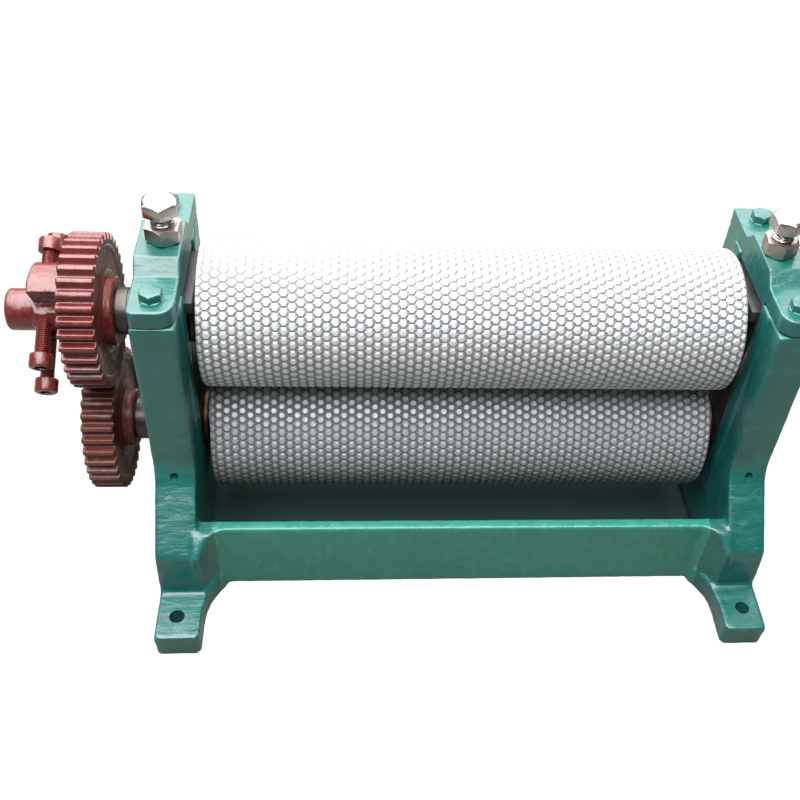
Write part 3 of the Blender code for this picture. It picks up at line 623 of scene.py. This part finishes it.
def painted_bolt(node, axes, flats, height, reach):
    """A hexagon bolt under a thick coat of paint, its head standing along the third axis."""
    head = hex_body(f"{node}_painted", axes, flats, 0.0, height)
    soften(head, 0.45 * MM)
    bm = bmesh.new()
    absorb_object(bm, head)
    rod(bm, axes, flats * 0.3, -reach, 0.4 * MM, 24)
    wide = flats * 0.56
    skirt = [(0.0, -0.3 * MM), (wide, -0.3 * MM), (wide, 0.25 * MM), (flats * 0.5, 0.7 * MM), (0.0, 0.7 * MM)]
    turn(bm, skirt, axes, 40)
    bolt = as_object(f"{node}_painted", bm)
    finish_piece(bolt, "frame", GREEN, "green_bolts", node, angle=40.0)


def make_frame_bolts():
    for side, end in SIDES:
        for toward, face in FACES:
            x = side * (177.4 * MM if toward > 0 else STAND_CENTRE)
            axes = axes_at((x, toward * 43.0 * MM, 203.8 * MM), UP, (cos(0.5 * side), 0.48, 0))
            painted_bolt(f"cap_bolt_{end}_{face}", axes, 11.2 * MM, 5.2 * MM, 12 * MM)
            for level, height in BEAM_BOLT_HEIGHTS.items():
                seat = (side * (BEAM_BOLT_SEAT + 0.1 * MM), toward * BEAM_BOLT_Y, height)
                axes = axes_at(seat, (side, 0, 0), (0, 0.3, 1))
                painted_bolt(f"beam_bolt_{end}_{face}_{level}", axes, 10.0 * MM, 4.2 * MM, 10 * MM)


def make_screw(side, end):
    """A zinc-plated adjusting screw: head, thread, and the small foot that sits in the block's slot."""
    name = f"adjusting_screw_{end}"
    axes = axes_at((side * SCREW_X, 0, 0), UP, (cos(0.62), sin(0.62), 0))
    head = hex_body(f"{name}_head", axes, 18.0 * MM, 228.0 * MM, 236.0 * MM, 0.44)
    soften(head, 0.3 * MM)
    bm = bmesh.new()
    absorb_object(bm, head)
    threaded_rod(bm, axes, SCREW_RADIUS, 1.75 * MM, 0.95 * MM, 190 * MM, 228.6 * MM)
    foot = [(0.0, 178.8), (5.0, 178.8), (5.0, 182.0), (3.3, 182.2), (3.3, 190.4), (0.0, 190.4)]
    turn(bm, scaled(foot), axes, 32)
    turn(bm, scaled([(0.0, 227.2), (8.6, 227.4), (8.6, 228.2), (0.0, 228.2)]), axes, 40)
    screw = as_object(f"{name}_threaded", bm)
    finish_piece(screw, name, ZINC, "zinc_plate", name, angle=38.0)


def make_lock_nut(side, end):
    name = f"lock_nut_{end}"
    axes = axes_at((side * SCREW_X, 0, 0), UP, (cos(0.45), sin(0.45), 0))
    nut = hex_body(f"{name}_plated", axes, 18.0 * MM, 211.6 * MM, 221.5 * MM, 0.46, 0.475)
    hole = bmesh.new()
    rod(hole, axes, SCREW_RADIUS + 0.25 * MM, 205 * MM, 230 * MM, 40)
    carve(nut, hole)
    soften(nut, 0.3 * MM)
    finish_piece(nut, name, OLD_ZINC, "zinc_plate", name, angle=38.0)


# ---------------------------------------------------------------------------- rollers and shafts

ROWS = 50                            # cells round the roller
CELL = 2 * pi * ROLLER_RADIUS / ROWS
COLUMN = CELL * sin(radians(60.0))   # from one ring of cells to the next
SHOULDER, LAND = 0.66, 0.52          # widths of the shoulder and of the flat land, as shares of a cell
SHOULDER_DEPTH = 0.3 * MM
GROOVE = 0.8 * MM
ROLLER_HALF = 155.0 * MM
ROLLER_OFFSET = -1.5 * MM
END_ROUND = 1.3 * MM


def cell_corners(x, v, share):
    """Six corners round (x, distance round the roller), for some share of a cell."""
    reach = CELL / sqrt(3.0) * share
    return [(x + reach * cos(k * pi / 3), v + reach * sin(k * pi / 3)) for k in range(6)]


def engraved_skin(phase):
    """A raised hexagonal land in every cell, with wide grooves between them."""
    bm = bmesh.new()
    depth = bm.verts.layers.float.new("depth")
    shared = {}

    def vertex(x, v, drop):
        radius = ROLLER_RADIUS - drop
        angle = v / ROLLER_RADIUS
        made = bm.verts.new((x, -radius * cos(angle), radius * sin(angle)))
        made[depth] = drop / GROOVE
        return made

    def groove_vertex(x, v):
        """Neighbouring cells share the corners at the bottom of the groove."""
        key = (round(x / COLUMN * 6), round((v / CELL - phase) * 4) % (4 * ROWS))
        if key not in shared:
            shared[key] = vertex(x, v, GROOVE)
        return shared[key]

    columns = int(2 * ROLLER_HALF / COLUMN) + 3
    for column in range(columns):
        x = COLUMN * (column - (columns - 1) / 2)
        for row in range(ROWS):
            v = CELL * (row + phase + 0.5 * (column % 2))
            rings = [[groove_vertex(*corner) for corner in cell_corners(x, v, 1.0)]]
            for share, drop in ((SHOULDER, SHOULDER_DEPTH), (LAND, 0.0)):
                rings.append([vertex(*corner, drop) for corner in cell_corners(x, v, share)])
            for low, high in zip(rings, rings[1:]):
                for k in range(6):
                    n = (k + 1) % 6
                    bm.faces.new((low[k], low[n], high[n], high[k]))
            bm.faces.new(rings[-1])
    return bm


def to_radius(v, radius):
    """Moves a vertex to a distance from the X axis."""
    scale = radius / hypot(v.co.y, v.co.z)
    v.co.y *= scale
    v.co.z *= scale


def trim_ends(bm):
    """Cuts the skin to length and turns its edge down at each end."""
    for direction in (-1, 1):
        for reach in (ROLLER_HALF - END_ROUND, ROLLER_HALF):
            geometry = bm.verts[:] + bm.edges[:] + bm.faces[:]
            bmesh.ops.bisect_plane(bm, geom=geometry, plane_co=(direction * reach, 0, 0),
                                   plane_no=(direction, 0, 0), clear_outer=reach == ROLLER_HALF)
    for v in bm.verts:
        if abs(v.co.x) > ROLLER_HALF - 0.01 * MM:
            to_radius(v, min(hypot(v.co.y, v.co.z), ROLLER_RADIUS - 0.9 * MM))


def close_ends(bm):
    """A flat face at each end, dished towards the shaft."""
    for radius, sink in ((30.0 * MM, 0.0), (18.0 * MM, 1.5 * MM)):
        rim = [e for e in bm.edges if e.is_boundary]
        made = bmesh.ops.extrude_edge_only(bm, edges=rim)
        for v in made["geom"]:
            if isinstance(v, bmesh.types.BMVert):
                to_radius(v, radius)
                v.co.x *= 1 - sink / ROLLER_HALF
    bmesh.ops.holes_fill(bm, edges=[e for e in bm.edges if e.is_boundary], sides=0)


def make_roller(name, z, phase, material):
    bm = engraved_skin(phase)
    trim_ends(bm)
    close_ends(bm)
    roller = as_object(f"{name}_engraved", bm)
    roller.data.transform(Matrix.Translation((ROLLER_OFFSET, 0, z)))
    finish_piece(roller, name, material, "roller_alloy", name, angle=28.0)


def shaft_skin(z, left):
    bm = bmesh.new()
    r, right, edge = SHAFT_RADIUS, SHAFT_RIGHT_END, 1.0 * MM
    turn(bm, [(0.0, left), (r - edge, left), (r, left + edge), (r, right - edge), (r - edge, right),
              (0.0, right)], across(0, 0, z), 64)
    return bm


def make_lower_shaft():
    shaft = as_object("lower_shaft_turned", shaft_skin(LOWER_Z, -232.0 * MM))
    finish_piece(shaft, "lower_roller", STEEL, "steel", "lower_shaft", "lower_roller_key", "lower_gear_key")


def hub_axes():
    """Outline axes: out along the back screws, then aside below them; third axis -X."""
    return axes_at((0, 0, UPPER_Z), (-1, 0, 0), (0, cos(HUB_TILT), sin(HUB_TILT)))


def neck_ring(x, radius):
    """A section of the painted stub: built up and lumpy in front, where the drum leaves it open."""
    left, right, fade = -251.2, -230.4, 1.6
    within = min(1.0, max(0.0, (x - left) / fade), max(0.0, (right - x) / fade))
    ring = []
    for i in range(90):
        a = 2 * pi * i / 90
        away = min(1.0, max(0.0, (-cos(a - HUB_TILT) - 0.12) / 0.3))
        lump = noise.noise(Vector((x * 0.22, 4.0 * cos(a), 4.0 * sin(a))))
        r = radius + within * away * (1.3 + 0.9 * lump)
        ring.append(Vector((x * MM, r * MM * cos(a), UPPER_Z + r * MM * sin(a))))
    return ring


def make_upper_shaft():
    """Turned steel from the gear to the right end; a thickly painted stub where the crank goes on."""
    plain = as_object("upper_shaft_turned", shaft_skin(UPPER_Z, -229.0 * MM))
    finish_piece(plain, "upper_roller", STEEL, "steel", "upper_shaft", "upper_roller_key")
    levels = [(-266.0, 9.8), (-265.7, 10.9), (-265.0, 11.7), (-264.0, 12.0), (-258.0, 12.0)]
    levels += [(-251.2 + step, 12.0) for step in range(24)]
    bm = bmesh.new()
    stack(bm, [neck_ring(x, radius) for x, radius in levels])
    stub = as_object("upper_shaft_painted", bm)
    flat = bmesh.new()
    prism(flat, scaled(block(9.5, 13.0, -13.0, 13.0)), hub_axes(), 238.0 * MM, 251.0 * MM)
    carve(stub, flat)
    finish_piece(stub, "upper_roller", RED, "red_enamel", "upper_shaft", angle=35.0)


# ---------------------------------------------------------------------------- gears and hub

TEETH = 36
PITCH_RADIUS = 43.2                  # plain millimetres
FLANK_SLOPE = 0.344
GEAR_ANGLE = 40.0


def tooth_points():
    """Half of one tooth: (radius, half width) from the root fillet to the rounded tip."""
    flank = [(r, 1.735 + (PITCH_RADIUS - r) * FLANK_SLOPE) for r in (41.3, 42.2, 43.2, 44.2)]
    return [(40.6, 3.3), (40.75, 2.85)] + flank + [(44.45, 1.2), (44.6, 0.85)]


def gear_ring(turned, grow, axes, level):
    """One section of a toothed rim; grow moves the tooth tips in or out."""
    ring = []
    for index in range(TEETH):
        middle = turned + 2 * pi * index / TEETH
        half = [(r + grow * (r - 40.0) / 5.0, w) for r, w in tooth_points()]
        for r, w in [(r, -w) for r, w in half] + [(r, w) for r, w in reversed(half)]:
            a = middle + w / r
            ring.append(axes @ Vector((r * MM * cos(a), r * MM * sin(a), level)))
    return ring


def join_rings(bm, low, high):
    for i in range(len(low)):
        j = (i + 1) % len(low)
        bm.faces.new((low[i], low[j], high[j], high[i]))


def gear_face(bm, ring, z, level, inward):
    """The side of a gear from its teeth in to the bore, with a shallow recess; returns the bore's edge."""
    for radius, sink in ((38.2, 0.0), (37.0, 0.8), (24.0, 0.8), (22.5, 0.0), (SHAFT_HOLE / MM, 0.0)):
        new = []
        for v in ring:
            out = Vector((0.0, v.co.y, v.co.z - z)).normalized() * radius * MM
            new.append(bm.verts.new((level + inward * sink * MM, out.y, out.z + z)))
        join_rings(bm, ring, new)
        ring = new
    return ring


def gear_skin(z, turned, left, right):
    """A toothed rim whose teeth are rounded off at both ends."""
    bm = bmesh.new()
    axes = across(0, 0, z)
    steps = ((0.0, -0.8), (0.2, -0.4), (0.5, -0.12), (1.0, 0.0))
    levels = [(left + d * MM, g) for d, g in steps] + [(right - d * MM, g) for d, g in reversed(steps)]
    rings = stack(bm, [gear_ring(turned, g, axes, level) for level, g in levels], cap=False)
    join_rings(bm, gear_face(bm, rings[0], z, left, 1), gear_face(bm, rings[-1], z, right, -1))
    return bm


def tube_skin(bm, axes, outer, low, high, edge):
    """A collar on a shaft, with rounded outer edges."""
    inner = SHAFT_HOLE
    turn(bm, [(inner, low), (outer - edge, low), (outer, low + edge), (outer, high - edge),
              (outer - edge, high), (inner, high)], axes, 56)


def make_gear_hub():
    """The half drum behind the shaft, rounded like a rough casting."""
    bm = bmesh.new()
    drum = arc((0.0, 0.0), 27.0 * MM, -pi / 2, pi / 2, 40)
    prism(bm, drum, hub_axes(), 224.0 * MM, 250.3 * MM)
    hub = cast(as_object("hub", bm), voxel=0.7 * MM, rounds=7, keep=0.3, lump=0.22 * MM, lump_size=4.0 * MM)
    hole = bmesh.new()
    rod(hole, across(0, 0, UPPER_Z), SHAFT_HOLE, -260 * MM, -200 * MM, 64)
    return carve(hub, hole)


def finish_gear(bm, name, body, material, node):
    """The flat faces of a gear that look along +X are dusty and matt, unlike its painted teeth."""
    gear = as_object(name, bm)
    finish_piece(gear, body, material, "red_enamel", node, angle=GEAR_ANGLE)
    gear.data.materials.append(RED_FACE)
    for polygon in gear.data.polygons:
        if polygon.normal.x > 0.9:
            polygon.material_index = 1


def make_gears():
    bm = gear_skin(UPPER_Z, -pi / 2, -229.5 * MM, -210.0 * MM)
    absorb_object(bm, make_gear_hub())
    tube_skin(bm, across(0, 0, UPPER_Z), 20.0 * MM, -211.0 * MM, -205.6 * MM, 0.9 * MM)
    finish_gear(bm, "upper_gear_cast", "upper_gear", RED, "upper_gear")
    bm = gear_skin(LOWER_Z, pi / 2 + pi / TEETH, -231.5 * MM, -213.0 * MM)
    tube_skin(bm, across(0, 0, LOWER_Z), 18.0 * MM, -214.0 * MM, -206.6 * MM, 0.9 * MM)
    finish_gear(bm, "lower_gear_cast", "lower_roller", RED_DUSTY, "lower_gear")


def make_hub_screw(node, body, along, spread, tip, underside):
    """A socket-head screw under thick paint, its thread showing between head and hub."""
    out = Vector((0.0, cos(HUB_TILT), sin(HUB_TILT)))
    aside = Vector((0.0, -sin(HUB_TILT), cos(HUB_TILT)))
    axes = axes_at(Vector((HUB_SCREW_X, 0.0, UPPER_Z)) + aside * (spread * 7.0 * MM), out * along, (1, 0, 0))
    top = underside + 8.0 * MM
    r = 6.3 * MM
    bm = bmesh.new()
    turn(bm, [(0.0, underside), (r - 0.4 * MM, underside), (r, underside + 0.4 * MM), (r, top - 1.1 * MM),
              (r - 0.35 * MM, top - 0.35 * MM), (r - 1.1 * MM, top), (0.0, top)], axes, 48)
    head = as_object("head", bm)
    socket = bmesh.new()
    prism(socket, hexagon(6.0 * MM), axes, top - 4.0 * MM, top + 1 * MM)
    carve(head, socket)
    soften(head, 0.25 * MM, angle=50.0)
    bm = bmesh.new()
    absorb_object(bm, head)
    threaded_rod(bm, axes, 3.95 * MM, 1.25 * MM, 0.55 * MM, tip, underside + 0.4 * MM, 28)
    screw = as_object(f"{node}_painted", bm)
    finish_piece(screw, body, RED, "red_enamel", node, angle=38.0)


def make_hub_screws():
    back_tip, front_tip = 10.4 * MM, 2.0 * MM
    make_hub_screw("hub_screw_back_upper", "upper_gear", 1, 1, back_tip, 32.5 * MM)
    make_hub_screw("hub_screw_back_lower", "upper_gear", 1, -1, back_tip, 41.0 * MM)
    make_hub_screw("hub_screw_front_upper", "upper_roller", -1, 1, front_tip, 29.5 * MM)
    make_hub_screw("hub_screw_front_lower", "upper_roller", -1, -1, front_tip, 39.5 * MM)


# ---------------------------------------------------------------------------- bearings, sleeves, collars

def outwards(side, z):
    """Axes on a shaft's centre line, third axis out towards one side."""
    return axes_at((0, 0, z), (side, 0, 0), (0, 1, 0))


def bearing_block(name, side, z, low, high):
    bm = bmesh.new()
    prism(bm, scaled(block(164.3, 190.0, -24.9, 24.9), side), upright(), low, high)
    made = soften(as_object(name, bm), 0.7 * MM)
    hole = bmesh.new()
    rod(hole, outwards(side, z), 15.2 * MM, 150 * MM, 200 * MM, 56)
    return carve(made, hole)


def make_lower_block(side, end):
    made = bearing_block(f"lower_bearing_{end}", side, LOWER_Z, 43.6 * MM, 115.9 * MM)
    finish_piece(made, "frame", BLACK, "dark_iron", f"lower_block_{end}")


def make_upper_block(side, end):
    """The sliding block, with a T-slot for the screw's foot and a lip that looks over the roller's end."""
    name = f"upper_bearing_{end}"
    made = bearing_block(name, side, UPPER_Z, 117.2 * MM, 186.0 * MM)
    centre = SCREW_X / MM
    for radius, low, high in ((3.8, 180.0, 188.0), (5.5, 178.2, 182.5)):
        plan = arc((centre, 0.0), radius, 3 * pi / 2, pi / 2, 16)
        plan += [(centre + 17.0, radius), (centre + 17.0, -radius)]
        slot = bmesh.new()
        prism(slot, scaled(plan, side), upright(), low * MM, high * MM)
        carve(made, slot)
    bm = bmesh.new()
    prism(bm, scaled(block(158.6, 165.5, -24.4, 24.4), side), upright(), 178.0 * MM, 186.0 * MM)
    lip = soften(as_object("lip", bm), 1.1 * MM, 3)
    bm = bmesh.new()
    absorb_object(bm, made)
    absorb_object(bm, lip)
    finish_piece(as_object(name, bm), "carriage", BLACK, "dark_iron", f"upper_block_{end}")


def make_bush(node, body, side, z):
    """A flanged bronze bush with broken edges."""
    profile = [(12.3, 189.5), (12.8, 190.0), (14.6, 190.0), (15.0, 189.4), (15.0, 164.0), (16.9, 164.0),
               (17.4, 163.5), (17.4, 161.5), (16.9, 161.0), (12.8, 161.0), (12.3, 161.5)]
    bm = bmesh.new()
    turn(bm, scaled(profile), outwards(side, z), 56)
    finish_piece(as_object(f"{node}_flanged", bm), body, BRONZE, "bronze", node)


def make_sleeve(level, z, boss):
    """The dark sleeve between a gear's boss and the bearing, with a turned groove."""
    profile = [(12.3, boss), (13.1, boss), (13.7, boss + 0.6), (13.7, -199.0), (13.3, -198.6), (13.3, -197.8),
               (13.7, -197.4), (13.7, -190.9), (13.1, -190.3), (12.3, -190.3)]
    bm = bmesh.new()
    turn(bm, scaled(profile), across(0, 0, z), 56)
    node = f"{level}_spacer"
    finish_piece(as_object(f"{node}_turned", bm), f"{level}_roller", DARK_STEEL, "dark_iron", node)


def make_collar(level, z):
    """The collar that keeps a shaft from sliding, with its hollow set screw."""
    node, body = f"{level}_collar", f"{level}_roller"
    axes = upright(194.15 * MM, 0, z)
    bm = bmesh.new()
    tube_skin(bm, across(0, 0, z), 18.0 * MM, 190.3 * MM, 198.0 * MM, 0.7 * MM)
    collar = as_object(f"{node}_turned", bm)
    hole = bmesh.new()
    rod(hole, axes, 2.7 * MM, 12 * MM, 19 * MM, 32)
    carve(collar, hole)
    finish_piece(collar, body, STEEL, "steel", node)
    bm = bmesh.new()
    threaded_rod(bm, axes, 2.5 * MM, 0.8 * MM, 0.4 * MM, 12.4 * MM, 17.4 * MM, 24, 0.3 * MM)
    grub = as_object(f"{node}_grub", bm)
    socket = bmesh.new()
    prism(socket, hexagon(2.5 * MM), axes, 15.4 * MM, 18.0 * MM)
    carve(grub, socket)
    finish_piece(grub, body, DARK_STEEL, "steel", f"{node}_screw")


# ---------------------------------------------------------------------------- stage, light and camera

def plain_material(name, colour, glow=0.0, roughness=0.7, shine=0.2):
    made = bpy.data.materials.new(name)
    made.use_nodes = True
    shader = made.node_tree.nodes["Principled BSDF"]
    shader.inputs["Base Color"].default_value = (*colour, 1.0)
    shader.inputs["Roughness"].default_value = roughness
    shader.inputs["Specular IOR Level"].default_value = shine
    shader.inputs["Emission Color"].default_value = (1.0, 1.0, 1.0, 1.0)
    shader.inputs["Emission Strength"].default_value = glow
    return made


def stage_piece(name, bm, material, seen_by_camera, seen_by_light):
    """A piece of the studio, which the camera sees, or the light on the machine, or both."""
    piece = as_object(name, bm)
    piece.data.materials.append(material)
    piece.visible_camera = seen_by_camera
    for kind in ("diffuse", "glossy", "transmission", "shadow"):
        setattr(piece, f"visible_{kind}", seen_by_light)


def rectangle(width, depth, z):
    bm = bmesh.new()
    corners = ((-1, -1), (1, -1), (1, 1), (-1, 1))
    bm.faces.new([bm.verts.new((SHIFT.x + a * width / 2, b * depth / 2, z)) for a, b in corners])
    return bm


def make_stage():
    """Plain white all round for the camera, a table top that lights the machine, and a dark sheet under it as
    painted shadow.
    """
    ball = bmesh.new()
    bmesh.ops.create_icosphere(ball, subdivisions=3, radius=8.0)
    white = plain_material("white_surround", (0, 0, 0), glow=1.1, roughness=1.0, shine=0.0)
    stage_piece("white_surround", ball, white, seen_by_camera=True, seen_by_light=False)
    table = plain_material("table_top", (0.18, 0.175, 0.155))
    top = rectangle(3.0, 3.0, -0.6 * MM)
    stage_piece("table_top", top, table, seen_by_camera=False, seen_by_light=True)
    # A dark greenish sheet under the machine, seen through its gaps: painted shadow.
    dark = plain_material("painted_shadow_ground", (0.02, 0.045, 0.042), shine=0.1)
    ground = rectangle(335 * MM, 149 * MM, -0.2 * MM)
    stage_piece("painted_shadow_ground", ground, dark, seen_by_camera=True, seen_by_light=True)


def soft_light(name, place, aim, width, depth, watts):
    data = bpy.data.lights.new(name, "AREA")
    data.shape = "RECTANGLE"
    data.size, data.size_y = width, depth
    data.energy = watts
    lamp = bpy.data.objects.new(name, data)
    bpy.context.scene.collection.objects.link(lamp)
    lamp.location = place
    lamp.visible_camera = False
    lamp.rotation_mode = "QUATERNION"
    lamp.rotation_quaternion = (Vector(aim) - Vector(place)).to_track_quat("-Z", "Y")


def make_light():
    world = bpy.data.worlds.new("studio")
    bpy.context.scene.world = world
    world.use_nodes = True
    background = world.node_tree.nodes["Background"]
    background.inputs["Color"].default_value = (0.82, 0.92, 1.0, 1.0)
    background.inputs["Strength"].default_value = 0.11
    soft_light("overhead", (-0.2, 0.0, 1.25), (0.0, 0.05, 0.1), 1.8, 1.4, 74.0)
    soft_light("back_window", (0.0, 1.2, 1.0), (0.0, 0.0, 0.1), 2.2, 1.0, 27.0)


def make_camera():
    data = bpy.data.cameras.new("camera")
    data.lens = 46.7
    data.shift_x, data.shift_y = -0.076, 0.038
    data.clip_start, data.clip_end = 0.01, 50.0
    camera = bpy.data.objects.new("camera", data)
    bpy.context.scene.collection.objects.link(camera)
    yaw, pitch, roll = radians(8.63), radians(45.35), radians(6.34)
    forward = Vector((sin(yaw) * cos(pitch), cos(yaw) * cos(pitch), -sin(pitch)))
    right = Vector((cos(yaw), -sin(yaw), 0.0))
    up = right.cross(forward)
    axes = Matrix((right * cos(roll) + up * sin(roll), up * cos(roll) - right * sin(roll), -forward))
    camera.matrix_world = Matrix.Translation((-0.0394, -0.4791, 0.5527)) @ axes.transposed().to_4x4()
    bpy.context.scene.camera = camera


make_stage()
make_light()
make_camera()
make_frame()
make_frame_bolts()
for side, end in SIDES:
    make_cap(side, end)
    make_screw(side, end)
    make_lock_nut(side, end)
    make_lower_block(side, end)
    make_upper_block(side, end)
    make_bush(f"lower_bush_{end}", "frame", side, LOWER_Z)
    make_bush(f"upper_bush_{end}", "carriage", side, UPPER_Z)
make_roller("upper_roller", UPPER_Z, 0.0, ALLOY)
# The lower roller's darker alloy is painted shade.
make_roller("lower_roller", LOWER_Z, 0.5, ALLOY_PAINTED_SHADE)
make_lower_shaft()
make_upper_shaft()
make_gears()
make_hub_screws()
make_sleeve("upper", UPPER_Z, -205.3)
make_sleeve("lower", LOWER_Z, -206.3)
make_collar("lower", LOWER_Z)
make_collar("upper", UPPER_Z)

bpy.context.scene.view_settings.view_transform = "Standard"
